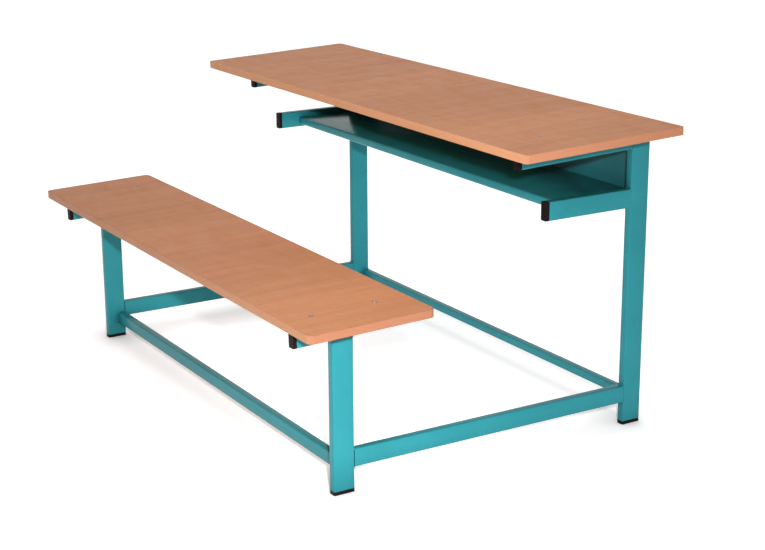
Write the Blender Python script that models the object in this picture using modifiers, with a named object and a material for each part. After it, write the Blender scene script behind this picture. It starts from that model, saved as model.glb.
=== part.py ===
"""School desk with a joined bench.

Two welded side frames of rectangular steel tube are tied together by cross rails. They carry a
seat board on two bearers, and a desktop board on two arms and a rail, with a sheet-metal book
shelf below it. Metres, +Z up, the floor at zero. The user sits facing +Y.
"""

import math

import bmesh
import bpy
from mathutils import Vector

# Boards
desktop_length = 1.500
desktop_depth = 0.424
desktop_height = 0.7122
desktop_tilt_degrees = 2.2
desktop_end_overhang = 0.120
desktop_corner_radius = 0.010
desktop_setback = 0.005
seat_end_overhang = 0.1025
seat_depth = 0.294
seat_height = 0.4045
seat_tilt_degrees = 1.7
seat_corner_radius = 0.014
seat_overhang = 0.108
board_thickness = 0.018
band_thickness = 0.003

# Frame tubes
leg_spacing = 0.771
leg_depth = 0.050
tube_width = 0.020
tube_wall = 0.0015
tube_corner_radius = 0.0025
seat_bearer_height = 0.0415
seat_bearer_reach = 0.082
seat_bearer_tail = 0.105
desktop_arm_height = 0.046
desktop_arm_reach = 0.303
shelf_arm_height = 0.043
shelf_arm_drop = 0.1922
shelf_arm_reach = 0.226
side_rail_height = 0.040
side_rail_bottom = 0.0555
front_rail_height = 0.030
front_rail_bottom = 0.038
rear_rail_height = 0.020
rear_rail_bottom = 0.051
desktop_rail_height = 0.020

# Book shelf
sheet_thickness = 0.0012
sheet_bend_radius = 0.003
shelf_floor_rise = 0.027
shelf_front_setback = 0.171
shelf_lip_height = 0.020
shelf_lip_return = 0.008
shelf_flange_height = 0.014
panel_setback = 0.0045
panel_flange_depth = 0.010

# Plastic caps
foot_head_height = 0.008
cap_head_depth = 0.008
cap_corner_radius = 0.0015
plug_depth = 0.014
plug_rib_depth = 0.0015
plug_rib_height = 0.0003
plug_ribs = 3

# Screws
screw_head_radius = 0.0065
screw_head_height = 0.003
screw_shank_radius = 0.0024
screw_sink = 0.0005
screw_tail = 0.004
seat_screw_front = 0.042
seat_screw_rear = 0.108
desktop_screw_front = 0.248
rail_screw_inset = 0.105

# Clearances, rounding steps and the overrun of every cut
joint_gap = 0.0003
plug_clearance = 0.0006
screw_clearance = 0.0004
corner_steps = 3
board_corner_steps = 6
round_steps = 16
overrun = 0.010
weld_distance = 0.00005
cap_bite = 0.001

steel_colour = (0.055, 0.345, 0.375, 1.0)
board_colour = (0.560, 0.300, 0.175, 1.0)
band_colour = (0.620, 0.310, 0.160, 1.0)
plastic_colour = (0.018, 0.017, 0.020, 1.0)
screw_colour = (0.450, 0.400, 0.360, 1.0)

# Places worked out from the sizes above
frame_width = desktop_length - 2 * desktop_end_overhang
seat_length = frame_width + 2 * seat_end_overhang
shelf_arm_bottom = desktop_height - shelf_arm_drop
shelf_floor_top = shelf_arm_bottom + shelf_floor_rise
overall_depth = seat_overhang + leg_spacing + leg_depth
seat_front = -overall_depth / 2
bench_leg_front = seat_front + seat_overhang
bench_leg_back = bench_leg_front + leg_depth
desk_leg_front = bench_leg_front + leg_spacing
desk_leg_back = desk_leg_front + leg_depth
desktop_back = desk_leg_back - desktop_setback
tube_centre = frame_width / 2 - tube_width / 2
frame_inside = frame_width / 2 - tube_width
seat_pitch = math.radians(seat_tilt_degrees)
desktop_pitch = math.radians(desktop_tilt_degrees)
seat_centre = seat_front + seat_depth / 2 * math.cos(seat_pitch) + board_thickness * math.sin(seat_pitch)
seat_underside = seat_height - board_thickness / math.cos(seat_pitch)
desktop_centre = desktop_back - desktop_depth / 2
desktop_underside = desktop_height - board_thickness / math.cos(desktop_pitch)
panel_back = desk_leg_back - panel_setback
sides = {"left": -1, "right": 1}


def clear_scene():
    """Remove what the start-up scene holds."""
    for item in list(bpy.data.objects):
        bpy.data.objects.remove(item, do_unlink=True)


def new_collection(name):
    """Make a collection in the scene."""
    group = bpy.data.collections.new(name)
    bpy.context.scene.collection.children.link(group)
    return group


def new_material(name, colour, roughness, metallic):
    """Make a plain material with one colour."""
    material = bpy.data.materials.new(name)
    material.use_nodes = True
    shader = material.node_tree.nodes["Principled BSDF"]
    shader.inputs["Base Color"].default_value = colour
    shader.inputs["Roughness"].default_value = roughness
    shader.inputs["Metallic"].default_value = metallic
    return material


def place_object(name, data, carrier, group):
    """Put an object on its carrier, or in the world where it has none."""
    item = bpy.data.objects.new(name, data)
    item.parent = carrier
    group.objects.link(item)
    return item


def rounded_rectangle(width, height, radius, steps, middle=(0, 0)):
    """Give the points of a rectangle with round corners, going round once."""
    points = []
    for turn, (side, end) in enumerate([(1, 1), (-1, 1), (-1, -1), (1, -1)]):
        across = middle[0] + side * (width / 2 - radius)
        along = middle[1] + end * (height / 2 - radius)
        for step in range(steps + 1):
            angle = math.pi / 2 * (turn + step / steps)
            points.append((across + radius * math.cos(angle), along + radius * math.sin(angle)))
    return points


def extrusion(name, outlines, length, material, carrier, group):
    """Extrude closed outlines along local Z as one mesh; an outline inside another is a hole."""
    curve = bpy.data.curves.new(name, "CURVE")
    curve.dimensions = "2D"
    curve.fill_mode = "BOTH"
    curve.extrude = length / 2
    for outline in outlines:
        spline = curve.splines.new("POLY")
        spline.points.add(len(outline) - 1)
        for point, (across, along) in zip(spline.points, outline):
            point.co = (across, along, 0, 1)
        spline.use_cyclic_u = True
    drawn = place_object(name + "_outline", curve, None, group)
    mesh = bpy.data.meshes.new_from_object(drawn)
    bpy.data.objects.remove(drawn, do_unlink=True)
    mesh.name = name
    shape = bmesh.new()
    shape.from_mesh(mesh)
    bmesh.ops.remove_doubles(shape, verts=shape.verts, dist=weld_distance)
    bmesh.ops.recalc_face_normals(shape, faces=shape.faces)
    shape.to_mesh(mesh)
    shape.free()
    mesh.materials.clear()
    mesh.materials.append(material)
    return place_object(name, mesh, carrier, group)


def tube(name, height, length, material, carrier, group):
    """Make a hollow rectangular tube along local Z, its height along local Y."""
    outer = rounded_rectangle(tube_width, height, tube_corner_radius, corner_steps)
    inner_radius = tube_corner_radius - tube_wall
    bore = 2 * tube_wall
    inner = rounded_rectangle(tube_width - bore, height - bore, inner_radius, corner_steps)
    return extrusion(name, [outer, inner], length, material, carrier, group)


def lay_along_y(item, x, y, z):
    """Lay an extrusion along Y with its height upright."""
    item.rotation_euler = (math.pi / 2, 0, 0)
    item.location = (x, y, z)
    return item


def lay_along_x(item, x, y, z):
    """Lay an extrusion along X with its height upright."""
    item.rotation_euler = (math.pi / 2, 0, math.pi / 2)
    item.location = (x, y, z)
    return item


def lathe(name, points, material, carrier, group):
    """Turn a profile of radius and height round local Z."""
    mesh = bpy.data.meshes.new(name)
    shape = bmesh.new()
    verts = [shape.verts.new((radius, 0, height)) for radius, height in points]
    for first, second in zip(verts, verts[1:]):
        shape.edges.new((first, second))
    shape.to_mesh(mesh)
    shape.free()
    if material:
        mesh.materials.append(material)
    item = place_object(name, mesh, carrier, group)
    turning = item.modifiers.new("turned", "SCREW")
    turning.steps = round_steps
    turning.render_steps = round_steps
    turning.use_smooth_shade = True
    turning.use_merge_vertices = True
    turning.merge_threshold = weld_distance
    return item


def cutting_block(name, size, place, carrier, group):
    """Make a box that only cuts, with its centre at a place."""
    mesh = bpy.data.meshes.new(name)
    shape = bmesh.new()
    bmesh.ops.create_cube(shape, size=1.0)
    bmesh.ops.scale(shape, vec=size, verts=shape.verts)
    shape.to_mesh(mesh)
    shape.free()
    return as_cutter(place_object(name, mesh, carrier, group), place)


def as_cutter(item, place):
    """Keep a cutting shape out of renders and put it at its place."""
    item.location = place
    item.hide_render = True
    item.display_type = "WIRE"
    return item


def cut(item, cutter):
    """Take a cutter's shape out of an object."""
    difference = item.modifiers.new("cut by " + cutter.name, "BOOLEAN")
    difference.operation = "DIFFERENCE"
    difference.solver = "EXACT"
    difference.object = cutter
    return item


def tilted_empty(name, y, z, pitch, group):
    """Make an empty at the middle of a sloping board's underside."""
    empty = place_object(name, None, None, group)
    empty.location = (0, y, z)
    empty.rotation_euler = (pitch, 0, 0)
    return empty


def board(name, length, depth, radius, material, band_material, carrier, group):
    """Make a board on its carrier, with the band that is glued round its edge."""
    band_radius = radius - band_thickness
    inside = rounded_rectangle(
        length - 2 * band_thickness, depth - 2 * band_thickness, band_radius, board_corner_steps
    )
    gap = 2 * (band_thickness + joint_gap)
    core = rounded_rectangle(length - gap, depth - gap, band_radius - joint_gap, board_corner_steps)
    edge = rounded_rectangle(length, depth, radius, board_corner_steps)
    panel = extrusion(name, [core], board_thickness, material, carrier, group)
    band = extrusion(name + "_edge_band", [edge, inside], board_thickness, band_material, carrier, group)
    for item in (panel, band):
        item.location = (0, 0, board_thickness / 2)
    return panel


def screws(name, places, carried, tools):
    """Make countersunk screws on a sloping board, and cut their holes in what they go through.

    A place is a position on the board and the piece below that the screw bites into.
    """
    carrier, panel, length, material, group = carried
    top = board_thickness - screw_sink
    for number, (x, y, beneath) in enumerate(places, 1):
        screw = lathe(f"{name}_{number}", screw_profile(0, 0, length), material, carrier, group)
        screw.location = (x, y, top)
        profile = screw_profile(screw_clearance, overrun, length)
        hole = as_cutter(lathe(f"{name}_hole_{number}", profile, None, carrier, tools), (x, y, top))
        cut(panel, hole)
        cut(beneath, hole)


def screw_profile(clearance, rise, length):
    """Profile of a countersunk screw from its axis at the top to its axis at the tip."""
    head = screw_head_radius + clearance
    shank = screw_shank_radius + clearance
    points = [(0, rise), (head, rise)]
    if rise:
        points.append((head, 0))
    points.append((shank, -screw_head_height - clearance))
    points.append((shank, -length - clearance))
    points.append((0, -length - clearance))
    return points


def face_front(item, x, y, z):
    """Turn a cap so that it closes the front end of a tube that runs back along Y."""
    item.rotation_euler = (-math.pi / 2, 0, 0)
    item.location = (x, y, z)
    return item


def cap(name, height, material, carrier, group, head=cap_head_depth):
    """Make a ribbed plug with its head, closing a tube that starts at local zero and runs up Z."""
    outer = rounded_rectangle(tube_width, height, tube_corner_radius, corner_steps)
    plate = extrusion(name + "_plate", [outer], head, material, None, group)
    inset = 2 * (tube_wall + plug_clearance + plug_rib_height)
    core_outline = rounded_rectangle(tube_width - inset, height - inset, cap_corner_radius, corner_steps)
    core = extrusion(name + "_core", [core_outline], plug_depth, material, None, group)
    inset = 2 * (tube_wall + plug_clearance)
    rib_outline = rounded_rectangle(tube_width - inset, height - inset, cap_corner_radius, corner_steps)
    solids = [(core, (0, 0, plug_depth / 2 - cap_bite))]
    pitch = plug_depth / (plug_ribs + 1)
    for number in range(plug_ribs):
        rib = extrusion(f"{name}_rib_{number}", [rib_outline], plug_rib_depth, material, None, group)
        solids.append((rib, (0, 0, pitch * (number + 1))))
    solids.insert(0, (plate, (0, 0, -head / 2 - joint_gap)))
    return fused(name, solids, material, carrier, group)


def fused(name, solids, material, carrier, group):
    """Join overlapping solids into one closed mesh."""
    first, place = solids[0]
    first.location = place
    for item, place in solids[1:]:
        item.location = place
        union = first.modifiers.new("join " + item.name, "BOOLEAN")
        union.operation = "UNION"
        union.solver = "EXACT"
        union.object = item
    bpy.context.view_layer.update()
    evaluated = first.evaluated_get(bpy.context.evaluated_depsgraph_get())
    mesh = bpy.data.meshes.new_from_object(evaluated)
    mesh.transform(first.matrix_world)
    for item, _ in solids:
        bpy.data.objects.remove(item, do_unlink=True)
    mesh.name = name
    mesh.materials.clear()
    mesh.materials.append(material)
    return place_object(name, mesh, carrier, group)


def seat_assembly(look, parts, tools):
    """Make the seat board with its bearers, caps and screws, all on one slope."""
    steel, wood, band, plastic, metal = look
    tilt = tilted_empty("seat_tilt", seat_centre, seat_underside, seat_pitch, parts)
    panel = board("seat_board", seat_length, seat_depth, seat_corner_radius, wood, band, tilt, parts)
    bearer_front = bench_leg_front - seat_bearer_reach - seat_centre
    bearer_back = bench_leg_back + seat_bearer_tail - seat_centre
    span = bearer_back - bearer_front
    middle = -joint_gap - seat_bearer_height / 2
    places = []
    for side, sign in sides.items():
        x = sign * tube_centre
        bearer = tube(f"{side}_seat_bearer", seat_bearer_height, span, steel, tilt, parts)
        lay_along_y(bearer, x, bearer_front + span / 2, middle)
        front_cap = cap(f"{side}_seat_bearer_front_cap", seat_bearer_height, plastic, tilt, parts)
        face_front(front_cap, x, bearer_front, middle)
        rear_cap = cap(f"{side}_seat_bearer_rear_cap", seat_bearer_height, plastic, tilt, parts)
        lay_along_y(rear_cap, x, bearer_back, middle)
        for y in (bench_leg_front - seat_screw_front, bench_leg_front + seat_screw_rear):
            places.append((x, y - seat_centre, bearer))
    length = board_thickness + joint_gap + tube_wall + screw_tail
    screws("seat_screw", places, (tilt, panel, length, metal, parts), tools)
    return tilt


def desktop_assembly(look, parts, tools):
    """Make the desktop board with its arms, rail, caps and screws, all on one slope."""
    steel, wood, band, plastic, metal = look
    tilt = tilted_empty("desktop_tilt", desktop_centre, desktop_underside, desktop_pitch, parts)
    panel = board(
        "desktop_board", desktop_length, desktop_depth, desktop_corner_radius, wood, band, tilt, parts
    )
    front = desk_leg_front - desktop_arm_reach - desktop_centre
    back = desk_leg_front + overrun - desktop_centre
    middle = -joint_gap - desktop_arm_height / 2
    leg_face = cutting_block(
        "leg_face_cutter",
        (2 * frame_width, 2 * leg_depth, desktop_height),
        (0, desk_leg_front - joint_gap + leg_depth, desktop_height),
        None,
        tools,
    )
    places = []
    for side, sign in sides.items():
        x = sign * tube_centre
        arm = tube(f"{side}_desktop_arm", desktop_arm_height, back - front, steel, tilt, parts)
        lay_along_y(arm, x, (front + back) / 2, middle)
        cut(arm, leg_face)
        arm_cap = cap(f"{side}_desktop_arm_cap", desktop_arm_height, plastic, tilt, parts)
        face_front(arm_cap, x, front, middle)
        places.append((x, desk_leg_front - desktop_screw_front - desktop_centre, arm))
    rail_length = 2 * (frame_inside - joint_gap)
    rail = tube("desktop_rail", desktop_rail_height, rail_length, steel, tilt, parts)
    lean = (desktop_rail_height + joint_gap) * math.sin(desktop_pitch)
    rail_back = (panel_back - sheet_thickness - joint_gap - desktop_centre - lean) / math.cos(desktop_pitch)
    rail_middle = rail_back - tube_width / 2
    lay_along_x(rail, 0, rail_middle, -joint_gap - desktop_rail_height / 2)
    for sign in sides.values():
        places.append((sign * (frame_inside - rail_screw_inset), rail_middle, rail))
    length = board_thickness + joint_gap + tube_wall + screw_tail
    screws("desktop_screw", places, (tilt, panel, length, metal, parts), tools)
    return tilt


def foot_cap(name, x, y, material, group):
    """Make the plastic foot that closes a leg's lower end."""
    foot = cap(name, leg_depth, material, None, group, foot_head_height)
    foot.location = (x, y, foot_head_height + joint_gap)
    return foot


def leg(name, x, front, top, cutter, steel, group):
    """Make an upright leg whose top is cut to the slope of what lies on it."""
    bottom = foot_head_height + joint_gap
    height = top + overrun - bottom
    post = tube(name, leg_depth, height, steel, None, group)
    post.location = (x, front + leg_depth / 2, bottom + height / 2)
    cut(post, cutter)
    return post


def side_frames(look, seat_tilt, desktop_tilt, parts, tools):
    """Make the legs, feet, side rails and shelf arms of both sides."""
    steel, plastic = look[0], look[3]
    size = (2 * frame_width, 2 * overall_depth, board_thickness)
    over_seat = cutting_block(
        "bench_leg_top_cutter",
        size,
        (0, 0, -2 * joint_gap - seat_bearer_height + board_thickness / 2),
        seat_tilt,
        tools,
    )
    over_desk = cutting_block(
        "desk_leg_top_cutter", size, (0, 0, -joint_gap + board_thickness / 2), desktop_tilt, tools
    )
    bench_top = seat_underside - seat_bearer_height
    rail_length = leg_spacing - leg_depth - 2 * joint_gap
    rail_middle = bench_leg_back + joint_gap + rail_length / 2
    arm_front = desk_leg_front - shelf_arm_reach
    arm_length = shelf_arm_reach - joint_gap
    for side, sign in sides.items():
        x = sign * tube_centre
        leg(f"{side}_bench_leg", x, bench_leg_front, bench_top, over_seat, steel, parts)
        leg(f"{side}_desk_leg", x, desk_leg_front, desktop_underside, over_desk, steel, parts)
        foot_cap(f"{side}_bench_foot", x, bench_leg_front + leg_depth / 2, plastic, parts)
        foot_cap(f"{side}_desk_foot", x, desk_leg_front + leg_depth / 2, plastic, parts)
        rail = tube(f"{side}_side_rail", side_rail_height, rail_length, steel, None, parts)
        lay_along_y(rail, x, rail_middle, side_rail_bottom + side_rail_height / 2)
        arm = tube(f"{side}_shelf_arm", shelf_arm_height, arm_length, steel, None, parts)
        arm_middle = shelf_arm_bottom + shelf_arm_height / 2
        lay_along_y(arm, x, arm_front + arm_length / 2, arm_middle)
        arm_cap = cap(f"{side}_shelf_arm_cap", shelf_arm_height, plastic, None, parts)
        face_front(arm_cap, x, arm_front, arm_middle)


def cross_rails(steel, parts):
    """Make the two low rails that tie the side frames together."""
    length = 2 * (frame_inside - joint_gap)
    front = tube("front_cross_rail", front_rail_height, length, steel, None, parts)
    lay_along_x(front, 0, bench_leg_back - tube_width / 2, front_rail_bottom + front_rail_height / 2)
    rear = tube("rear_cross_rail", rear_rail_height, length, steel, None, parts)
    lay_along_x(rear, 0, desk_leg_back - tube_width / 2, rear_rail_bottom + rear_rail_height / 2)


def bent_strip(path, thickness, bend_radius):
    """Give the closed outline of a sheet bent along a path, its arcs on both faces of each bend."""
    corners = [Vector(point) for point in path]
    outer = []
    inner = []
    for number, corner in enumerate(corners):
        before = (corner - corners[number - 1]).normalized() if number else None
        after = (corners[number + 1] - corner).normalized() if number + 1 < len(corners) else None
        if not before or not after:
            along = after or before
            side = Vector((-along.y, along.x))
            outer.append(corner)
            inner.append(corner + side * thickness)
            continue
        turn = 1 if before.x * after.y - before.y * after.x > 0 else -1
        near = bend_radius + max(turn * thickness, 0)
        far = near - turn * thickness
        centre = corner - before * near + Vector((-before.y, before.x)) * turn * near
        start = Vector((before.y, -before.x)) * turn
        finish = Vector((after.y, -after.x)) * turn
        for step in range(corner_steps + 1):
            share = step / corner_steps
            ray = (start * (1 - share) + finish * share).normalized()
            outer.append(centre + ray * near)
            inner.append(centre + ray * far)
    return [(point.x, point.y) for point in outer + inner[::-1]]


def book_shelf(steel, parts):
    """Make the sheet tray between the shelf arms and the panel behind it."""
    front = desk_leg_front - shelf_front_setback
    bottom = shelf_floor_top - sheet_thickness
    length = 2 * (frame_inside - joint_gap)
    back = panel_back - sheet_thickness - joint_gap
    path = [
        (front + shelf_lip_return, shelf_floor_top - shelf_lip_height),
        (front, shelf_floor_top - shelf_lip_height),
        (front, shelf_floor_top),
        (back, shelf_floor_top),
        (back, shelf_floor_top - shelf_flange_height),
    ]
    outline = bent_strip(path, -sheet_thickness, sheet_bend_radius)
    tray = extrusion("shelf_tray", [outline], length, steel, None, parts)
    lay_along_x(tray, 0, 0, 0)
    rise = math.tan(desktop_pitch) * (panel_back - desktop_centre - tube_width)
    top = desktop_underside + rise - 2 * joint_gap
    low = bottom - shelf_flange_height - sheet_bend_radius - joint_gap
    path = [(panel_back - panel_flange_depth, low), (panel_back, low), (panel_back, top)]
    outline = bent_strip(path, sheet_thickness, sheet_bend_radius)
    panel = extrusion("shelf_back_panel", [outline], length, steel, None, parts)
    lay_along_x(panel, 0, 0, 0)


def main():
    """Build the desk."""
    clear_scene()
    parts = new_collection("school_desk_with_bench")
    tools = new_collection("cutters")
    steel = new_material("painted_steel", steel_colour, 0.38, 0.0)
    wood = new_material("beech_board", board_colour, 0.42, 0.0)
    band = new_material("edge_band", band_colour, 0.40, 0.0)
    plastic = new_material("black_plastic", plastic_colour, 0.45, 0.0)
    metal = new_material("screw_steel", screw_colour, 0.35, 1.0)
    look = (steel, wood, band, plastic, metal)
    seat_tilt = seat_assembly(look, parts, tools)
    desktop_tilt = desktop_assembly(look, parts, tools)
    side_frames(look, seat_tilt, desktop_tilt, parts, tools)
    cross_rails(steel, parts)
    book_shelf(steel, parts)


main()
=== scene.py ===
"""Finishes, screws, welds and studio for a school desk with a joined bench."""

import math

import bmesh
import bpy
from mathutils import Matrix, Vector


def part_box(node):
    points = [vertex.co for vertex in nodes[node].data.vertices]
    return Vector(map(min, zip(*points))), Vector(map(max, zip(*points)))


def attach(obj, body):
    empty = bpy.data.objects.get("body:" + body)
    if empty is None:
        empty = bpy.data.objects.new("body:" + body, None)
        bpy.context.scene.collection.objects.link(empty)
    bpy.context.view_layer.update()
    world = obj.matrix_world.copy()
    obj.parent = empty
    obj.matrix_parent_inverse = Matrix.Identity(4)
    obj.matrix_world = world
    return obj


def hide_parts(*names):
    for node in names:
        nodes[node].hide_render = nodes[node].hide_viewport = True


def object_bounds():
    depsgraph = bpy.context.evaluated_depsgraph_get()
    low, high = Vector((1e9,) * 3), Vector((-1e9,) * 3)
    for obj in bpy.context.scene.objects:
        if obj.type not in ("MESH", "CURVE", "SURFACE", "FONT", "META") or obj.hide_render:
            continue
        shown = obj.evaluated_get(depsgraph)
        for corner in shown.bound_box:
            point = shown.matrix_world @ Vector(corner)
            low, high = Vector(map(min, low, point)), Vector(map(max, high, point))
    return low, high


bl_info = {
    "name": "School desk with bench",
    "version": (1, 0, 0),
    "blender": (4, 5, 0),
    "location": "3D View > Sidebar > Desk",
    "description": "Finishes the desk's frame, boards, caps and screws, and sets up the studio",
    "category": "Object",
}

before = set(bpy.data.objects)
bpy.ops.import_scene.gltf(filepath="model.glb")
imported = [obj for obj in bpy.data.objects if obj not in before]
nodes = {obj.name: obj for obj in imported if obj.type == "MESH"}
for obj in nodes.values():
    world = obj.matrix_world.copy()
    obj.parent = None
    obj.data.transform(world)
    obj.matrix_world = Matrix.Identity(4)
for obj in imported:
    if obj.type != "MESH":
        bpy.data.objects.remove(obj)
cad_low, cad_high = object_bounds()

SIDES = ("left", "right")
STEEL_NODES = [
    name for name in sorted(nodes)
    if name.endswith(("_leg", "_rail", "_bearer", "_arm", "shelf_tray", "shelf_back_panel"))
]
BOARD_NODES = ["desktop_board", "seat_board"]
BAND_NODES = ["desktop_board_edge_band", "seat_board_edge_band"]
PLASTIC_NODES = [name for name in sorted(nodes) if name.endswith(("_cap", "_foot"))]
SCREW_NODES = [name for name in sorted(nodes) if "_screw_" in name]


# Properties that a user would change

class DeskFinishes(bpy.types.PropertyGroup):
    """Colours and surface scales of the desk's finishes."""

    steel_colour: bpy.props.FloatVectorProperty(
        name="Paint", description="Turquoise powder coat of the frame and the shelf",
        subtype="COLOR", size=3, min=0.0, max=1.0, default=(0.020, 0.224, 0.258),
    )
    board_light: bpy.props.FloatVectorProperty(
        name="Board, light wood", description="Lightest beech tone of the boards",
        subtype="COLOR", size=3, min=0.0, max=1.0, default=(0.61, 0.264, 0.127),
    )
    board_dark: bpy.props.FloatVectorProperty(
        name="Board, dark wood", description="Darkest beech tone of the boards",
        subtype="COLOR", size=3, min=0.0, max=1.0, default=(0.45, 0.183, 0.084),
    )
    band_light: bpy.props.FloatVectorProperty(
        name="Edge band, light", description="Lightest tone of the edge bands",
        subtype="COLOR", size=3, min=0.0, max=1.0, default=(0.77, 0.375, 0.200),
    )
    band_dark: bpy.props.FloatVectorProperty(
        name="Edge band, dark", description="Darkest tone of the edge bands",
        subtype="COLOR", size=3, min=0.0, max=1.0, default=(0.63, 0.288, 0.140),
    )
    # Painted shade on the bands' short sides at the boards' two ends
    band_end_shade: bpy.props.FloatVectorProperty(
        name="End bands", description="Tint that darkens the bands at the boards' two ends",
        subtype="COLOR", size=3, min=0.0, max=1.0, default=(0.76, 0.68, 0.70),
    )
    # Painted shade on the whole band of the seat, which shares the desktop band's material
    seat_band_shade: bpy.props.FloatVectorProperty(
        name="Seat band", description="Tint that darkens the whole band of the seat",
        subtype="COLOR", size=3, min=0.0, max=1.0, default=(0.69, 0.68, 0.71),
    )
    plastic_colour: bpy.props.FloatVectorProperty(
        name="Plastic", description="Black of the feet and the end caps",
        subtype="COLOR", size=3, min=0.0, max=1.0, default=(0.008, 0.004, 0.005),
    )
    screw_colour: bpy.props.FloatVectorProperty(
        name="Screw metal", description="Zinc-plated steel of the screws",
        subtype="COLOR", size=3, min=0.0, max=1.0, default=(0.30, 0.25, 0.22),
    )
    edge_radius: bpy.props.FloatProperty(
        name="Edge radius", description="Radius of the edge bands' rounded edges",
        unit="LENGTH", min=0.0, max=0.003, default=0.0014,
    )
    plank_width: bpy.props.FloatProperty(
        name="Plank width", description="Mean width of the planks in the board's pattern",
        unit="LENGTH", min=0.02, max=1.0, default=0.21,
    )
    streak_width: bpy.props.FloatProperty(
        name="Grain width", description="Width of one streak of the wood grain",
        unit="LENGTH", min=0.0005, max=0.05, default=0.006,
    )
    # Painted shade that darkens the paint in the shelf, in corners and under the boards, by occlusion
    corner_shade: bpy.props.FloatProperty(
        name="Corner shade", description="How far painted shade darkens the paint in the shelf and in corners",
        subtype="FACTOR", min=0.0, max=1.0, default=0.85,
    )
    shade_reach: bpy.props.FloatProperty(
        name="Shade reach", description="Distance to another surface within which painted shade darkens the paint",
        unit="LENGTH", min=0.005, max=0.5, default=0.18,
    )
    paint_grain: bpy.props.FloatProperty(
        name="Paint texture", description="Width of one dimple of the powder coat",
        unit="LENGTH", min=0.0002, max=0.01, default=0.0016,
    )


class DeskFittings(bpy.types.PropertyGroup):
    """Sizes of the screws and the weld beads that dress the solids."""

    head_radius: bpy.props.FloatProperty(
        name="Screw head radius", description="Radius of a screw's domed head",
        unit="LENGTH", min=0.002, max=0.02, default=0.0065,
    )
    head_height: bpy.props.FloatProperty(
        name="Screw head height", description="Height of the dome above its rim",
        unit="LENGTH", min=0.0005, max=0.01, default=0.0006,
    )
    recess_reach: bpy.props.FloatProperty(
        name="Recess reach", description="Half the width of the square that holds the cross recess",
        unit="LENGTH", min=0.001, max=0.01, default=0.0033,
    )
    recess_depth: bpy.props.FloatProperty(
        name="Recess depth", description="Depth of the cross recess",
        unit="LENGTH", min=0.0002, max=0.005, default=0.0020,
    )
    shank_radius: bpy.props.FloatProperty(
        name="Shank radius", description="Radius of a screw's shank",
        unit="LENGTH", min=0.0005, max=0.005, default=0.0022,
    )
    bead_radius: bpy.props.FloatProperty(
        name="Weld bead radius", description="Radius of the weld beads at the tube joints",
        unit="LENGTH", min=0.0005, max=0.006, default=0.0019,
    )
    bead_ripple: bpy.props.FloatProperty(
        name="Weld ripple", description="Length of one ripple along a weld bead",
        unit="LENGTH", min=0.0005, max=0.01, default=0.0016,
    )


class DeskStudio(bpy.types.PropertyGroup):
    """Camera, lamps and floor."""

    camera_place: bpy.props.FloatVectorProperty(
        name="Camera place", description="Where the camera stands",
        subtype="TRANSLATION", unit="LENGTH", size=3, default=(3.3864, -1.8992, 1.4034),
    )
    camera_yaw: bpy.props.FloatProperty(
        name="Camera yaw", description="Turn of the view to the left of straight ahead",
        subtype="ANGLE", default=math.radians(58.888),
    )
    camera_pitch: bpy.props.FloatProperty(
        name="Camera pitch", description="Tilt of the view, down below level",
        subtype="ANGLE", default=math.radians(-16.253),
    )
    camera_roll: bpy.props.FloatProperty(
        name="Camera roll", description="Turn of the view about its own line",
        subtype="ANGLE", default=math.radians(-0.318),
    )
    lens: bpy.props.FloatProperty(
        name="Lens", description="Focal length on a sensor 36 mm wide",
        unit="CAMERA", min=10.0, max=300.0, default=76.85,
    )
    key_place: bpy.props.FloatVectorProperty(
        name="Key place", description="Where the key lamp stands",
        subtype="TRANSLATION", unit="LENGTH", size=3, default=(3.36, -1.69, 1.575),
    )
    key_target: bpy.props.FloatVectorProperty(
        name="Key target", description="The point that the key lamp is aimed at",
        subtype="TRANSLATION", unit="LENGTH", size=3, default=(0.65, -0.35, 0.20),
    )
    key_power: bpy.props.FloatProperty(
        name="Key lamp", description="Power of the key lamp",
        subtype="POWER", min=0.0, max=1000.0, default=12.4,
    )
    key_width: bpy.props.FloatProperty(
        name="Key width", description="Width of the key lamp",
        unit="LENGTH", min=0.02, max=3.0, default=0.10,
    )
    key_spread: bpy.props.FloatProperty(
        name="Key spread", description="Angle over which the key lamp spreads its light",
        subtype="ANGLE", min=0.1, max=math.pi, default=math.radians(50.0),
    )
    top_power: bpy.props.FloatProperty(
        name="Top lamp", description="Power of the soft lamp above the desk",
        subtype="POWER", min=0.0, max=1000.0, default=46.0,
    )
    top_height: bpy.props.FloatProperty(
        name="Top lamp height", description="Height of the soft lamp above the floor",
        unit="LENGTH", min=1.0, max=10.0, default=3.3,
    )
    top_width: bpy.props.FloatProperty(
        name="Top lamp width", description="Width of the soft lamp above the desk",
        unit="LENGTH", min=0.1, max=10.0, default=2.6,
    )
    ambient: bpy.props.FloatProperty(
        name="Room light", description="Level of the even light from all round",
        min=0.0, max=2.0, default=0.10,
    )
    floor_reach: bpy.props.FloatProperty(
        name="Floor reach", description="Half the width of the floor",
        unit="LENGTH", min=2.0, max=100.0, default=30.0,
    )
    floor_glow: bpy.props.FloatProperty(
        name="Floor white", description="Extra white that the floor round the desk shows to the camera",
        subtype="FACTOR", min=0.0, max=1.0, default=0.80,
    )
    floor_bounce: bpy.props.FloatProperty(
        name="Floor bounce", description="Light that the white floor throws back on the desk",
        subtype="FACTOR", min=0.0, max=1.0, default=0.72,
    )
    contact_reach: bpy.props.FloatProperty(
        name="Contact shadow", description="Distance from the floor within which a piece darkens it",
        unit="LENGTH", min=0.01, max=1.0, default=0.12,
    )
    shadow_reach: bpy.props.FloatProperty(
        name="Shadow reach", description="How far from the middle the floor keeps its full shadows",
        unit="LENGTH", min=0.5, max=10.0, default=1.1,
    )


# Shader node helpers

def feed(tree, entry, value):
    """Gives an input a link from another socket, or a plain value."""
    if isinstance(value, bpy.types.NodeSocket):
        tree.links.new(value, entry)
    else:
        entry.default_value = value


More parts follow.
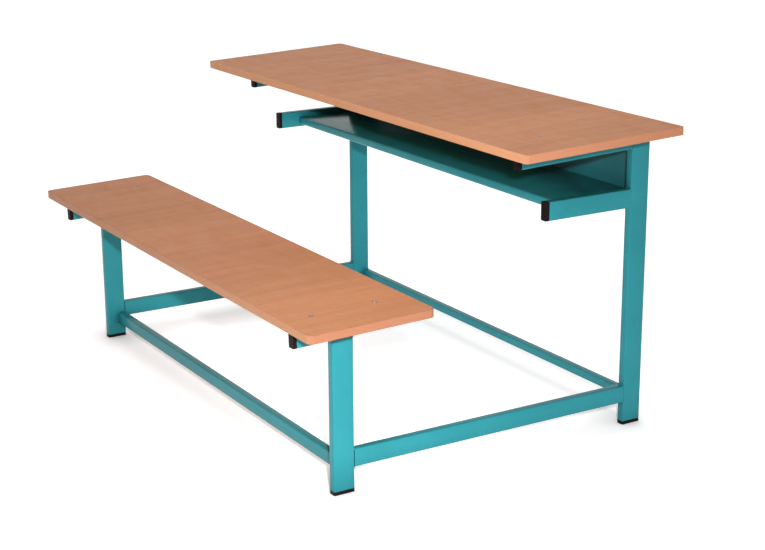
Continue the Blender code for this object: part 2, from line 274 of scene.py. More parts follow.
def add_node(tree, kind, inputs=(), **settings):
    """A new node of a tree, with its settings and with sockets or plain values for its inputs."""
    made = tree.nodes.new(kind)
    for name, value in settings.items():
        setattr(made, name, value)
    for name, value in dict(inputs).items():
        feed(tree, made.inputs[name], value)
    return made


def math_node(tree, operation, first, second=None):
    """The result socket of a Math node, from sockets or plain numbers."""
    inputs = {0: first} if second is None else {0: first, 1: second}
    return add_node(tree, "ShaderNodeMath", inputs, operation=operation).outputs[0]


def vector_math(tree, operation, first, second):
    """The result socket of a Vector Math node that adds, multiplies or scales."""
    entry = "Scale" if operation == "SCALE" else 1
    made = add_node(tree, "ShaderNodeVectorMath", {0: first, entry: second}, operation=operation)
    return made.outputs[0]


def ramp(tree, source, low, high):
    """A smooth rise from 0 at low to 1 at high."""
    made = add_node(
        tree, "ShaderNodeMapRange", {"Value": source, "From Min": low, "From Max": high},
        interpolation_type="SMOOTHSTEP", clamp=True,
    )
    return made.outputs["Result"]


def noise(tree, vector, scale, detail, roughness):
    """The value of a Noise Texture on a vector."""
    made = add_node(tree, "ShaderNodeTexNoise", {
        "Vector": vector, "Scale": scale, "Detail": detail, "Roughness": roughness,
    })
    return made.outputs["Fac"]


def toned(colour, factor=1.0, lift=0.0):
    """A colour multiplied by a factor and made paler by a lift, with full alpha."""
    return (*(share * factor + lift for share in colour), 1.0)


def blend_colours(tree, factor, first, second, kind="MIX"):
    """The colour between two colours or colour sockets."""
    made = add_node(tree, "ShaderNodeMix", data_type="RGBA", blend_type=kind)
    entries = {entry.identifier: entry for entry in made.inputs}
    feed(tree, entries["Factor_Float"], factor)
    feed(tree, entries["A_Color"], first)
    feed(tree, entries["B_Color"], second)
    return next(socket for socket in made.outputs if socket.identifier == "Result_Color")


def new_group(name, sizes, masks):
    """An empty shader node group with a vector, its sizes and its masks, and its two end nodes."""
    group = bpy.data.node_groups.new(name, "ShaderNodeTree")
    group.interface.new_socket("Vector", in_out="INPUT", socket_type="NodeSocketVector")
    for title, value in sizes.items():
        entry = group.interface.new_socket(title, in_out="INPUT", socket_type="NodeSocketFloat")
        entry.default_value = value
    for title in masks:
        group.interface.new_socket(title, in_out="OUTPUT", socket_type="NodeSocketFloat")
    return group, group.nodes.new("NodeGroupInput"), group.nodes.new("NodeGroupOutput")


# Effects that several finishes share

def make_wood_grain():
    """Beech pattern with planks side by side along X and the grain along Y."""
    # Shifts and reaches are in metres, and stretches are scales along X, Y and Z
    plank_scatter = 0.8
    plank_shift = 9.0
    wander_scale = 5.0
    wander_reach = 0.022
    streak_stretch = (1.0, 0.045, 0.3)
    figure_stretch = (1.0, 0.11, 0.3)
    pore_stretch = (1.0, 0.14, 0.5)
    figure_share = 0.5
    fibre_height = 0.6
    group, start, end = new_group(
        "Wood grain", {"Plank Width": 0.2, "Streak Width": 0.006}, ("Tone", "Plank", "Pores", "Height"),
    )
    vector = start.outputs["Vector"]
    parts = add_node(group, "ShaderNodeSeparateXYZ", {0: vector})
    across = math_node(group, "DIVIDE", parts.outputs[0], start.outputs["Plank Width"])
    planks = add_node(
        group, "ShaderNodeTexVoronoi", {"W": across, "Scale": 1.0, "Randomness": plank_scatter},
        voronoi_dimensions="1D", feature="F1",
    )
    shades = add_node(group, "ShaderNodeSeparateColor", {0: planks.outputs["Color"]})
    shift = vector_math(group, "SCALE", planks.outputs["Color"], plank_shift)
    moved = vector_math(group, "ADD", vector, shift)
    # A slow wander bends the streaks a little, as real grain does
    wander = add_node(group, "ShaderNodeTexNoise", {
        "Vector": moved, "Scale": wander_scale, "Detail": 1.0,
    })
    bend = vector_math(group, "SCALE", wander.outputs["Color"], wander_reach)
    bent = vector_math(group, "ADD", moved, bend)
    frequency = math_node(group, "DIVIDE", 1.0, start.outputs["Streak Width"])
    long_grain = vector_math(group, "MULTIPLY", bent, streak_stretch)
    fine = noise(group, long_grain, scale=frequency, detail=3.0, roughness=0.62)
    broad_grain = vector_math(group, "MULTIPLY", bent, figure_stretch)
    broad = noise(group, broad_grain, scale=26.0, detail=2.0, roughness=0.55)
    fleck_grain = vector_math(group, "MULTIPLY", moved, pore_stretch)
    flecks = noise(group, fleck_grain, scale=620.0, detail=1.0, roughness=0.5)
    streaks = math_node(group, "MULTIPLY", ramp(group, fine, low=0.30, high=0.72), 1.0 - figure_share)
    figure = math_node(group, "MULTIPLY", ramp(group, broad, low=0.28, high=0.74), figure_share)
    pores = ramp(group, flecks, low=0.60, high=0.74)
    fibres = math_node(group, "MULTIPLY", fine, fibre_height)
    group.links.new(math_node(group, "ADD", streaks, figure), end.inputs["Tone"])
    group.links.new(shades.outputs[0], end.inputs["Plank"])
    group.links.new(pores, end.inputs["Pores"])
    group.links.new(math_node(group, "SUBTRACT", fibres, pores), end.inputs["Height"])
    return group


def make_fine_texture():
    """Tiny dimples and specks of a moulded or sprayed skin."""
    group, start, end = new_group("Fine texture", {"Dimple": 0.0016}, ("Height", "Specks"))
    vector = start.outputs["Vector"]
    frequency = math_node(group, "DIVIDE", 1.0, start.outputs["Dimple"])
    dimples = noise(group, vector, scale=frequency, detail=1.5, roughness=0.45)
    specks = noise(group, vector, scale=1900.0, detail=0.0, roughness=0.5)
    group.links.new(dimples, end.inputs["Height"])
    group.links.new(ramp(group, specks, low=0.55, high=0.75), end.inputs["Specks"])
    return group


def make_handling():
    """Broad soft patches where hands and cloths have dulled or cleaned a surface."""
    smear_stretch = (0.35, 1.0, 1.0)
    group, start, end = new_group("Handling marks", {"Size": 0.12}, ("Patches", "Smears"))
    vector = start.outputs["Vector"]
    frequency = math_node(group, "DIVIDE", 1.0, start.outputs["Size"])
    patches = noise(group, vector, scale=frequency, detail=3.0, roughness=0.55)
    wiped = vector_math(group, "MULTIPLY", vector, smear_stretch)
    smears = noise(group, wiped, scale=34.0, detail=3.0, roughness=0.6)
    group.links.new(ramp(group, patches, low=0.34, high=0.68), end.inputs["Patches"])
    group.links.new(ramp(group, smears, low=0.42, high=0.70), end.inputs["Smears"])
    return group


def make_soft_edges():
    """Joins a CAD mesh's loose triangles and shades its round corners smoothly."""
    join_distance = 0.00001
    crease_angle = math.radians(36.0)
    group = bpy.data.node_groups.new("Smooth round corners", "GeometryNodeTree")
    group.interface.new_socket("Geometry", in_out="INPUT", socket_type="NodeSocketGeometry")
    group.interface.new_socket("Geometry", in_out="OUTPUT", socket_type="NodeSocketGeometry")
    start = group.nodes.new("NodeGroupInput")
    end = group.nodes.new("NodeGroupOutput")
    plain = add_node(group, "GeometryNodeRemoveAttribute", {
        "Geometry": start.outputs[0], "Name": "custom_normal",
    })
    joined = add_node(group, "GeometryNodeMergeByDistance", {
        "Geometry": plain.outputs[0], "Distance": join_distance,
    })
    angle = group.nodes.new("GeometryNodeInputMeshEdgeAngle")
    sharp = add_node(
        group, "FunctionNodeCompare", {"A": angle.outputs["Unsigned Angle"], "B": crease_angle},
        data_type="FLOAT", operation="GREATER_THAN",
    )
    round_faces = add_node(
        group, "GeometryNodeSetShadeSmooth", {"Geometry": joined.outputs[0], "Shade Smooth": True},
        domain="FACE",
    )
    crisp = add_node(
        group, "GeometryNodeSetShadeSmooth",
        {"Geometry": round_faces.outputs[0], "Selection": sharp.outputs[0], "Shade Smooth": False},
        domain="EDGE",
    )
    group.links.new(crisp.outputs[0], end.inputs[0])
    return group


def shared(name, maker):
    """The node group of that name, made the first time it is asked for."""
    return bpy.data.node_groups.get(name) or maker()


def start_material(name):
    """A new material with its Principled shader and Object coordinates through a Mapping node."""
    material = bpy.data.materials.new(name)
    material.use_nodes = True
    tree = material.node_tree
    shader = tree.nodes["Principled BSDF"]
    places = tree.nodes.new("ShaderNodeTexCoord")
    mapping = add_node(tree, "ShaderNodeMapping", {"Vector": places.outputs["Object"]})
    return material, tree, shader, mapping


def use_group(tree, name, maker, vector, sizes):
    """A shared effect placed in a material with its own sizes."""
    return add_node(tree, "ShaderNodeGroup", {"Vector": vector, **sizes}, node_tree=shared(name, maker))


def fine_texture(tree, vector, dimple):
    """The shared skin of dimples and specks, with dimples of one width."""
    return use_group(tree, "Fine texture", make_fine_texture, vector, {"Dimple": dimple})


def handling(tree, vector, size):
    """The shared handling marks, with patches of one size."""
    return use_group(tree, "Handling marks", make_handling, vector, {"Size": size})


def faded(tree, mask, share):
    """A mask brought down to a share of itself."""
    return math_node(tree, "MULTIPLY", mask, share)


def set_gloss(tree, shader, mask, smooth, dull, low=0.0, high=1.0):
    """Roughness that goes from smooth to dull as a mask goes from low to high."""
    gloss = add_node(tree, "ShaderNodeMapRange", {
        "Value": mask, "From Min": low, "From Max": high, "To Min": smooth, "To Max": dull,
    })
    tree.links.new(gloss.outputs["Result"], shader.inputs["Roughness"])


def set_bump(tree, shader, height, depth):
    """A Bump node that feeds a shader's normal."""
    made = add_node(tree, "ShaderNodeBump", {"Height": height, "Distance": depth, "Strength": 1.0})
    tree.links.new(made.outputs["Normal"], shader.inputs["Normal"])


# Finishes

def painted_steel(finish):
    """Turquoise powder coat with a fine skin, uneven gloss and painted shade in shut-in places."""
    material, tree, shader, mapping = start_material("turquoise_powder_coat")
    vector = mapping.outputs[0]
    skin = fine_texture(tree, vector, dimple=finish.paint_grain)
    marks = handling(tree, vector, size=0.14)
    paint = finish.steel_colour
    coat = blend_colours(tree, marks.outputs["Patches"], toned(paint, factor=0.96),
                         toned(paint, factor=1.05, lift=0.002))
    specks = faded(tree, skin.outputs["Specks"], share=0.10)
    coat = blend_colours(tree, specks, coat, toned(paint, factor=1.5, lift=0.02))
    # Painted shade: the paint darkens where other surfaces shut it in, as in the shelf and under the
    # boards
    openness = add_node(tree, "ShaderNodeAmbientOcclusion", {"Distance": finish.shade_reach}, samples=8)
    shut_in = math_node(tree, "SUBTRACT", 1.0, openness.outputs["AO"])
    painted_shade = faded(tree, ramp(tree, shut_in, low=0.28, high=0.80), share=finish.corner_shade)
    coat = blend_colours(tree, painted_shade, coat, toned(paint, factor=0.12))
    tree.links.new(coat, shader.inputs["Base Color"])
    set_gloss(tree, shader, marks.outputs["Smears"], smooth=0.17, dull=0.24)
    shader.inputs["Specular IOR Level"].default_value = 0.11
    set_bump(tree, shader, skin.outputs["Height"], depth=0.00003)
    return material


def beech(name, light, dark, plank_width, streak_width, end_reach=None, end_shade_colour=None):
    """Beech-effect surface with planks, streaks, pores and a satin skin.

    An edge band gives its reach along X and the painted shade on its two short sides.
    """
    pattern_start = (0.37, 0.11, 0.0)
    plank_share = 0.34
    # Distances from a band's end at which the painted shade of its short side starts and is full
    side_begins = 0.012
    side_is_full = 0.002
    material, tree, shader, mapping = start_material(name)
    mapping.inputs["Location"].default_value = pattern_start
    vector = mapping.outputs[0]
    grain = vector
    if end_reach:
        # A band's grain runs along its length, with its planks one above the other
        parts = add_node(tree, "ShaderNodeSeparateXYZ", {0: vector})
        along = math_node(tree, "ADD", parts.outputs[0], parts.outputs[1])
        grain = add_node(tree, "ShaderNodeCombineXYZ", {0: parts.outputs[2], 1: along}).outputs[0]
    wood = use_group(tree, "Wood grain", make_wood_grain, grain, {
        "Plank Width": plank_width, "Streak Width": streak_width,
    })
    marks = handling(tree, vector, size=0.16)
    plank = faded(tree, wood.outputs["Plank"], share=plank_share)
    tone = math_node(tree, "ADD", faded(tree, wood.outputs["Tone"], share=1.0 - plank_share), plank)
    timber = blend_colours(tree, tone, toned(light), toned(dark))
    pores = faded(tree, wood.outputs["Pores"], share=0.30)
    timber = blend_colours(tree, pores, timber, toned(dark, factor=0.55))
    worn = faded(tree, marks.outputs["Patches"], share=0.10)
    timber = blend_colours(tree, worn, timber, toned(light, factor=1.06))
    if end_reach:
        # Painted shade: the bands' short sides at the boards' two ends are darkened
        from_start = math_node(tree, "SUBTRACT", parts.outputs[0], pattern_start[0])
        from_middle = math_node(tree, "ABSOLUTE", from_start)
        painted_end_shade = ramp(tree, from_middle, end_reach - side_begins, end_reach - side_is_full)
        timber = blend_colours(tree, painted_end_shade, timber, toned(end_shade_colour), "MULTIPLY")
    tree.links.new(timber, shader.inputs["Base Color"])
    set_gloss(tree, shader, marks.outputs["Smears"], smooth=0.48, dull=0.58)
    shader.inputs["Specular IOR Level"].default_value = 0.11
    set_bump(tree, shader, wood.outputs["Height"], depth=0.00005)
    return material


def black_plastic(finish):
    """Moulded black plastic with a fine spark texture, paler where it is rubbed."""
    material, tree, shader, mapping = start_material("black_moulded_plastic")
    vector = mapping.outputs[0]
    skin = fine_texture(tree, vector, dimple=0.0009)
    marks = handling(tree, vector, size=0.03)
    black = finish.plastic_colour
    rubbed = faded(tree, marks.outputs["Patches"], share=0.55)
    plastic = blend_colours(tree, rubbed, toned(black), toned(black, factor=1.9, lift=0.004))
    specks = faded(tree, skin.outputs["Specks"], share=0.20)
    plastic = blend_colours(tree, specks, plastic, toned(black, factor=3.0, lift=0.008))
    tree.links.new(plastic, shader.inputs["Base Color"])
    set_gloss(tree, shader, marks.outputs["Smears"], smooth=0.38, dull=0.52)
    shader.inputs["Specular IOR Level"].default_value = 0.03
    set_bump(tree, shader, skin.outputs["Height"], depth=0.00010)
    return material


def plated_screw(finish):
    """Zinc-plated steel with a fine uneven skin and a dull bloom."""
    material, tree, shader, mapping = start_material("zinc_plated_screw")
    vector = mapping.outputs[0]
    skin = fine_texture(tree, vector, dimple=0.0006)
    marks = handling(tree, vector, size=0.004)
    metal = finish.screw_colour
    bloom = blend_colours(tree, marks.outputs["Patches"], toned(metal), toned(metal, factor=0.72))
    tree.links.new(bloom, shader.inputs["Base Color"])
    shader.inputs["Metallic"].default_value = 0.85
    set_gloss(tree, shader, skin.outputs["Height"], smooth=0.30, dull=0.46, low=0.3, high=0.7)
    set_bump(tree, shader, skin.outputs["Height"], depth=0.00003)
    return material


def dark_recess(finish):
    """Steel darkened with painted shade, as if unlit, in the bottom of a screw's recess."""
    material, tree, shader, mapping = start_material("screw_recess")
    marks = handling(tree, mapping.outputs[0], size=0.002)
    metal = finish.screw_colour
    # Painted shade: the recess floor is darkened to stand in for its shadow
    painted_recess_shade = blend_colours(tree, marks.outputs["Patches"], toned(metal, factor=0.14),
                          toned(metal, factor=0.24))
    tree.links.new(painted_recess_shade, shader.inputs["Base Color"])
    shader.inputs["Roughness"].default_value = 0.7
    shader.inputs["Specular IOR Level"].default_value = 0.1
    return material


def coat_nodes(names, material, edge_width=0.0):
    """Gives CAD nodes a material and smooth round corners, and bevels sharp edges to a width."""
    for name in names:
        piece = nodes[name]
        for slot in piece.material_slots:
            slot.material = material
        soft = piece.modifiers.new("Smooth round corners", "NODES")
        soft.node_group = shared("Smooth round corners", make_soft_edges)
        if edge_width:
            eased = piece.modifiers.new("Rounded edges", "BEVEL")
            eased.width = edge_width
            eased.segments = 3
            eased.limit_method = "ANGLE"
            eased.angle_limit = math.radians(50.0)


# Pieces that scene.py adds

def finished_object(name, mesh_in_work, materials):
    """Turns a bmesh into a piece that rides on the frame."""
    bmesh.ops.recalc_face_normals(mesh_in_work, faces=mesh_in_work.faces)
    for face in mesh_in_work.faces:
        face.smooth = True
    mesh = bpy.data.meshes.new(name)
    mesh_in_work.to_mesh(mesh)
    mesh_in_work.free()
    for material in materials:
        mesh.materials.append(material)
    piece = bpy.data.objects.new(name, mesh)
    bpy.context.scene.collection.objects.link(piece)
    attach(piece, "root")
    return piece


def edge_loop(work, edges, factor, rise):
    """Extrudes a ring of edges, scales it about the axis by factor and lifts it by rise."""
    made = bmesh.ops.extrude_edge_only(work, edges=edges)["geom"]
    points = [v for v in made if isinstance(v, bmesh.types.BMVert)]
    bmesh.ops.scale(work, vec=(factor, factor, 1.0), verts=points)
    bmesh.ops.translate(work, vec=(0.0, 0.0, rise), verts=points)
    return [e for e in made if isinstance(e, bmesh.types.BMEdge)]


def screw_mesh(fittings, length):
    """A domed screw with a cross recess and a shank, its head's rim at the origin."""
    # The inner ring is a share of the head's radius, and heights are in metres
    cells = 6
    inner_ring = 0.74
    ring_growth = 1.19
    dome_power = 2.2
    rim_height = 0.0006
    neck_height = 0.0016
    head_and_tip = 0.006
    tip_share = 0.35
    tip_height = 0.003
    floor_share = 0.80
    recess_slot = 1
    reach = fittings.recess_reach
    radius = fittings.head_radius
    work = bmesh.new()
    bmesh.ops.create_grid(work, x_segments=cells, y_segments=cells, size=reach)
    cell = 2.0 * reach / cells
    cross = [
        f for f in work.faces
        if min(abs(f.calc_center_median().x), abs(f.calc_center_median().y)) < cell
    ]
    outline = [e for e in work.edges if e.is_boundary]
    ring = bmesh.ops.create_circle(work, segments=4 * cells, radius=radius * inner_ring)
    ring_edges = [e for e in work.edges if all(v in ring["verts"] for v in e.verts)]
    bmesh.ops.bridge_loops(work, edges=outline + ring_edges)
    middle = edge_loop(work, ring_edges, ring_growth, 0.0)
    rim = edge_loop(work, middle, 1.0 / (inner_ring * ring_growth), 0.0)
    for point in work.verts:
        share = min(point.co.xy.length / radius, 1.0)
        point.co.z = fittings.head_height * (1.0 - share ** dome_power)
    low_rim = edge_loop(work, rim, 1.0, -rim_height)
    neck = edge_loop(work, low_rim, fittings.shank_radius / radius, -neck_height)
    shank = edge_loop(work, neck, 1.0, head_and_tip - length)
    bmesh.ops.holes_fill(work, edges=edge_loop(work, shank, tip_share, -tip_height))
    # The cross sinks into the head, narrower at its floor, and takes the second material, dark with
    # painted shade
    sunk = bmesh.ops.extrude_face_region(work, geom=cross)["geom"]
    bottom = [v for v in sunk if isinstance(v, bmesh.types.BMVert)]
    bmesh.ops.delete(work, geom=cross, context="FACES_ONLY")
    bmesh.ops.scale(work, vec=(floor_share, floor_share, 1.0), verts=bottom)
    bmesh.ops.translate(work, vec=(0.0, 0.0, -fittings.recess_depth), verts=bottom)
    for face in work.faces:
        if any(point in bottom for point in face.verts):
            face.material_index = recess_slot
    return work


def weld_bead(work, start, end, radius, ripple):
    """Adds one rippled weld bead between two points to a mesh in work."""
    end_swell = 0.55
    crest = 1.12
    trough = 0.92
    fewest_rings = 4
    sides = 8
    start = Vector(start)
    run = Vector(end) - start
    rings = max(int(run.length / ripple), fewest_rings)
    turn = run.to_track_quat("Z", "Y").to_matrix().to_4x4()
    circle = bmesh.ops.create_circle(
        work, segments=sides, radius=radius * end_swell, cap_ends=True,
    )
    made = circle["verts"]
    bmesh.ops.transform(work, matrix=Matrix.Translation(start) @ turn, verts=made)
    face = made[0].link_faces[0]
    swell = end_swell
    for step in range(1, rings + 1):
        face = bmesh.ops.extrude_discrete_faces(work, faces=[face])["faces"][0]
        size = crest if step % 2 else trough
        if step == rings:
            size = end_swell
        bmesh.ops.translate(work, vec=run / rings, verts=face.verts)
        middle = face.calc_center_median()
        bmesh.ops.scale(work, vec=(size / swell,) * 3, verts=face.verts,
                        space=Matrix.Translation(-middle))
        swell = size


def top_normal(name):
    """The direction that a sloping board's top faces."""
    top = max(nodes[name].data.polygons, key=lambda face: face.area * face.normal.z)
    return top.normal.copy()


def rise_of(name):
    """How far a sloping board's top rises per metre towards the back."""
    facing = top_normal(name)
    return -facing.y / facing.z


def weld_runs():
    """Start and end points of the beads, worked out from the CAD nodes' boxes."""
    runs = []
    desk_rise = rise_of("desktop_board")
    seat_rise = rise_of("seat_board")
    for side in SIDES:
        bench_low, bench_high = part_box(side + "_bench_leg")
        rail_low, rail_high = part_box(side + "_side_rail")
        shelf_low, shelf_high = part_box(side + "_shelf_arm")
        arm_low, arm_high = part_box(side + "_desktop_arm")
        bearer_low, bearer_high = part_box(side + "_seat_bearer")
        desk_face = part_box(side + "_desk_leg")[0].y
        for joint in (rail_low.y, rail_high.y):
            for level in (rail_low.z, rail_high.z):
                runs.append(((rail_low.x, joint, level), (rail_high.x, joint, level)))
        for level in (shelf_low.z, shelf_high.z):
            runs.append(((shelf_low.x, shelf_high.y, level), (shelf_high.x, shelf_high.y, level)))
        level = arm_low.z + desk_rise * (desk_face - arm_low.y)
        runs.append(((arm_low.x, desk_face, level), (arm_high.x, desk_face, level)))
        for face in (bench_low.y, bench_high.y):
            level = bench_high.z - seat_rise * (bench_high.y - face)
            runs.append(((bearer_low.x, face, level), (bearer_high.x, face, level)))
        inner = bench_high.x if side == "left" else bench_low.x
        for name in ("front_cross_rail", "rear_cross_rail"):
            low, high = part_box(name)
            for level in (low.z, high.z):
                runs.append(((inner, low.y, level), (inner, high.y, level)))
            runs.append(((inner, low.y, low.z), (inner, low.y, high.z)))
    return runs


# The studio

def seen_or_mirrored(tree):
    """1 for rays from the camera, from gloss and through glass, and 0 for others."""
    rays = tree.nodes.new("ShaderNodeLightPath")
    seen = math_node(tree, "MAXIMUM", rays.outputs["Is Camera Ray"], rays.outputs["Is Glossy Ray"])
    return math_node(tree, "MAXIMUM", seen, rays.outputs["Is Transmission Ray"])


def paint_floor(studio):
    """White floor that keeps the desk's shadow and shows white where it is lit."""
    white_paint = (0.80, 0.80, 0.80, 1.0)
    fade_out = 2.5
    contact_power = 2.0
    material, tree, shader, mapping = start_material("studio_floor")
    out = tree.nodes["Material Output"]
    shader.inputs["Base Color"].default_value = white_paint
    shader.inputs["Roughness"].default_value = 0.9
    shader.inputs["Specular IOR Level"].default_value = 0.0
    away = add_node(tree, "ShaderNodeVectorMath", {0: mapping.outputs[0]}, operation="LENGTH")
    white = add_node(
        tree, "ShaderNodeMapRange",
        {"Value": away.outputs["Value"], "From Min": studio.shadow_reach,
         "From Max": studio.shadow_reach * fade_out, "To Min": studio.floor_glow, "To Max": 1.0},
        interpolation_type="SMOOTHSTEP", clamp=True,
    )
    # Painted contact shadow: the floor's white dims close to the feet and the low rails
    openness = add_node(
        tree, "ShaderNodeAmbientOcclusion", {"Distance": studio.contact_reach}, samples=16,
    )
    clear = math_node(tree, "POWER", openness.outputs["AO"], contact_power)
    shown = math_node(tree, "MULTIPLY", clear, white.outputs["Result"])
    extra = math_node(tree, "SUBTRACT", shown, studio.floor_bounce)
    seen = math_node(tree, "MULTIPLY", seen_or_mirrored(tree), extra)
    strength = math_node(tree, "ADD", seen, studio.floor_bounce)
    glow = add_node(tree, "ShaderNodeEmission", {"Strength": strength})
    both = add_node(tree, "ShaderNodeAddShader", {0: shader.outputs[0], 1: glow.outputs[0]})
    tree.links.new(both.outputs[0], out.inputs["Surface"])
    return material


def light_room(studio):
    """An even room light, seen as white by the camera and by reflections."""
    world = bpy.data.worlds.new("studio_room")
    bpy.context.scene.world = world
    world.use_nodes = True
    tree = world.node_tree
    sky = tree.nodes["Background"]
    level = add_node(tree, "ShaderNodeMapRange", {
        "Value": seen_or_mirrored(tree), "To Min": studio.ambient, "To Max": 1.0,
    })
    sky.inputs["Color"].default_value = (1.0, 1.0, 1.0, 1.0)
    tree.links.new(level.outputs["Result"], sky.inputs["Strength"])


def place_camera(studio):
    """The camera of the photograph."""
    lens = bpy.data.cameras.new("photo_camera")
    lens.lens = studio.lens
    lens.sensor_width = 36.0
    lens.sensor_fit = "HORIZONTAL"
    lens.clip_end = 200.0
    camera = bpy.data.objects.new("photo_camera", lens)
    bpy.context.scene.collection.objects.link(camera)
    yaw, pitch, roll = studio.camera_yaw, studio.camera_pitch, studio.camera_roll
    level_reach = math.cos(pitch)
    forward = Vector((-math.sin(yaw) * level_reach, math.cos(yaw) * level_reach, math.sin(pitch)))
    right = Vector((math.cos(yaw), math.sin(yaw), 0.0))
    up = right.cross(forward)
    turned_right = right * math.cos(roll) + up * math.sin(roll)
    turned_up = up * math.cos(roll) - right * math.sin(roll)
    turn = Matrix((turned_right, turned_up, -forward)).transposed()
    camera.matrix_world = Matrix.Translation(Vector(studio.camera_place)) @ turn.to_4x4()
    bpy.context.scene.camera = camera


def place_lamp(name, place, target, width, power, spread=math.pi):
    """A square soft lamp that points at a target."""
    lamp = bpy.data.lights.new(name, "AREA")
    lamp.shape = "SQUARE"
    lamp.size = width
    lamp.energy = power
    lamp.spread = spread
    holder = bpy.data.objects.new(name, lamp)
    bpy.context.scene.collection.objects.link(holder)
    aim = Vector(target) - Vector(place)
    turn = aim.to_track_quat("-Z", "Y").to_matrix().to_4x4()
    holder.matrix_world = Matrix.Translation(Vector(place)) @ turn


# Operators

class DESK_OT_coat_frame(bpy.types.Operator):
    """Coats the tubes, the shelf tray and its back panel"""
    bl_idname = "desk.coat_frame"
    bl_label = "Coat frame and shelf"

    def execute(self, context):
        coat_nodes(STEEL_NODES, painted_steel(context.scene.desk_finishes))
        return {"FINISHED"}


class DESK_OT_finish_boards(bpy.types.Operator):
    """Gives the desktop and the seat their beech finish and their edge bands"""
    bl_idname = "desk.finish_boards"
    bl_label = "Finish boards"

    def execute(self, context):
        finish = context.scene.desk_finishes
        unshaded_band = (1.0, 1.0, 1.0)
        board_edge = finish.edge_radius / 8
        band_planks = finish.plank_width * 2
        band_streaks = finish.streak_width / 3
        wood = beech("beech_laminate", finish.board_light, finish.board_dark,
                     finish.plank_width, finish.streak_width)
        coat_nodes(BOARD_NODES, wood, board_edge)
        # The seat's band is darkened with painted shade; the desktop's band keeps its plain tones
        for name, band_shade_colour in zip(BAND_NODES, (unshaded_band, finish.seat_band_shade)):
            light = [tone * share for tone, share in zip(finish.band_light, band_shade_colour)]
            dark = [tone * share for tone, share in zip(finish.band_dark, band_shade_colour)]
            band = beech(name.replace("board", "beech"), light, dark, band_planks, band_streaks,
                         end_reach=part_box(name)[1].x, end_shade_colour=finish.band_end_shade)
            coat_nodes([name], band, finish.edge_radius)
        return {"FINISHED"}


class DESK_OT_finish_caps(bpy.types.Operator):
    """Gives the feet and the end caps their moulded black plastic"""
    bl_idname = "desk.finish_caps"
    bl_label = "Finish feet and caps"

    def execute(self, context):
        coat_nodes(PLASTIC_NODES, black_plastic(context.scene.desk_finishes))
        return {"FINISHED"}


class DESK_OT_build_screws(bpy.types.Operator):
    """Builds the domed cross-recess screws in place of their plain solids"""
    bl_idname = "desk.build_screws"
    bl_label = "Build screws"

    def execute(self, context):
        fittings = context.scene.desk_fittings
        finish = context.scene.desk_finishes
        first_degrees = 23.0
        step_degrees = 47.0
        metals = (plated_screw(finish), dark_recess(finish))
        for number, name in enumerate(SCREW_NODES):
            top = top_normal(name.split("_")[0] + "_board")
            low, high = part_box(name)
            work = screw_mesh(fittings, high.z - low.z)
            spin = Matrix.Rotation(math.radians(first_degrees + step_degrees * number), 4, "Z")
            lean = Vector((0.0, 0.0, 1.0)).rotation_difference(top).to_matrix().to_4x4()
            head = Vector(((low.x + high.x) / 2, (low.y + high.y) / 2, high.z))
            bmesh.ops.transform(work, matrix=Matrix.Translation(head) @ lean @ spin, verts=work.verts)
            piece = finished_object(name + "_cross_head", work, metals)
            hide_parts(name)
        return {"FINISHED"}


class DESK_OT_build_welds(bpy.types.Operator):
    """Lays the painted weld beads at the tube joints"""
    bl_idname = "desk.build_welds"
    bl_label = "Build welds"

    def execute(self, context):
        fittings = context.scene.desk_fittings
        paint = bpy.data.materials.get("turquoise_powder_coat")
        if paint is None:
            raise RuntimeError("coat the frame before laying the welds")
        work = bmesh.new()
        for start, end in weld_runs():
            weld_bead(work, start, end, fittings.bead_radius, fittings.bead_ripple)
        # Each bead grew out of its first face, so its start is still open
        bmesh.ops.holes_fill(work, edges=[edge for edge in work.edges if edge.is_boundary])
        finished_object("weld_beads", work, (paint,))
        return {"FINISHED"}


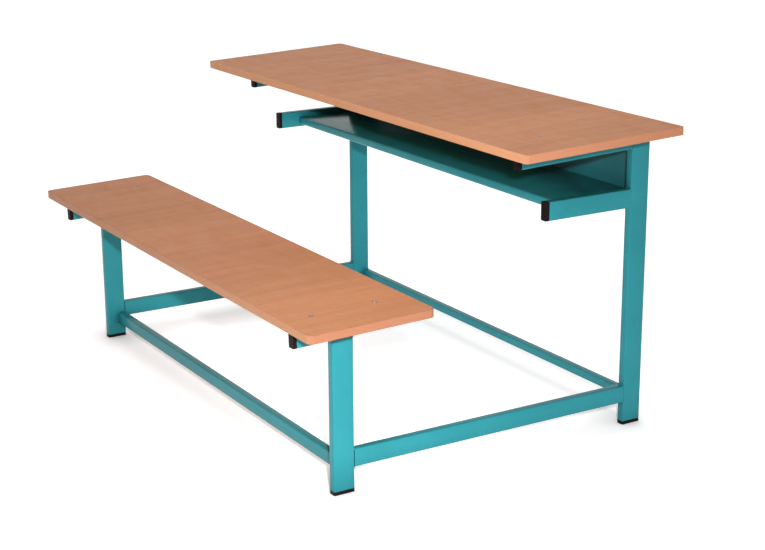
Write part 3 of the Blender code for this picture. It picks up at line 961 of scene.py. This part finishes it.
class DESK_OT_set_studio(bpy.types.Operator):
    """Sets up the floor, the lamps, the room light and the camera"""
    bl_idname = "desk.set_studio"
    bl_label = "Set studio"

    def execute(self, context):
        studio = context.scene.desk_studio
        context.scene.view_settings.view_transform = "Standard"
        work = bmesh.new()
        bmesh.ops.create_grid(work, x_segments=1, y_segments=1, size=studio.floor_reach)
        mesh = bpy.data.meshes.new("studio_floor")
        work.to_mesh(mesh)
        work.free()
        mesh.materials.append(paint_floor(studio))
        floor = bpy.data.objects.new("studio_floor", mesh)
        context.scene.collection.objects.link(floor)
        light_room(studio)
        place_camera(studio)
        place_lamp("key_lamp", studio.key_place, studio.key_target, studio.key_width,
                   studio.key_power, studio.key_spread)
        middle = (cad_low + cad_high) / 2
        above = (middle.x, middle.y, studio.top_height)
        place_lamp("top_lamp", above, middle, studio.top_width, studio.top_power)
        return {"FINISHED"}


class DESK_PT_panel(bpy.types.Panel):
    """Lists the desk's finishes, fittings and studio"""
    bl_idname = "DESK_PT_panel"
    bl_label = "School desk with bench"
    bl_space_type = "VIEW_3D"
    bl_region_type = "UI"
    bl_category = "Desk"

    def draw(self, context):
        groups = (
            (context.scene.desk_finishes, FINISH_STEPS),
            (context.scene.desk_fittings, FITTING_STEPS),
            (context.scene.desk_studio, STUDIO_STEPS),
        )
        for settings, steps in groups:
            box = self.layout.box()
            for name in settings.__annotations__:
                box.prop(settings, name)
            for step in steps:
                box.operator(step.bl_idname)


FINISH_STEPS = (DESK_OT_coat_frame, DESK_OT_finish_boards, DESK_OT_finish_caps)
FITTING_STEPS = (DESK_OT_build_screws, DESK_OT_build_welds)
STUDIO_STEPS = (DESK_OT_set_studio,)
CLASSES = (
    DeskFinishes, DeskFittings, DeskStudio,
    *FINISH_STEPS, *FITTING_STEPS, *STUDIO_STEPS, DESK_PT_panel,
)


def register():
    """Registers every class and gives the scene its three groups of settings."""
    for item in CLASSES:
        bpy.utils.register_class(item)
    bpy.types.Scene.desk_finishes = bpy.props.PointerProperty(type=DeskFinishes)
    bpy.types.Scene.desk_fittings = bpy.props.PointerProperty(type=DeskFittings)
    bpy.types.Scene.desk_studio = bpy.props.PointerProperty(type=DeskStudio)


def unregister():
    """Takes the settings and the classes away again."""
    del bpy.types.Scene.desk_finishes
    del bpy.types.Scene.desk_fittings
    del bpy.types.Scene.desk_studio
    for item in reversed(CLASSES):
        bpy.utils.unregister_class(item)


def main():
    register()
    bpy.ops.desk.coat_frame()
    bpy.ops.desk.finish_boards()
    bpy.ops.desk.finish_caps()
    bpy.ops.desk.build_screws()
    bpy.ops.desk.build_welds()
    bpy.ops.desk.set_studio()


if __name__ == "__main__":
    main()
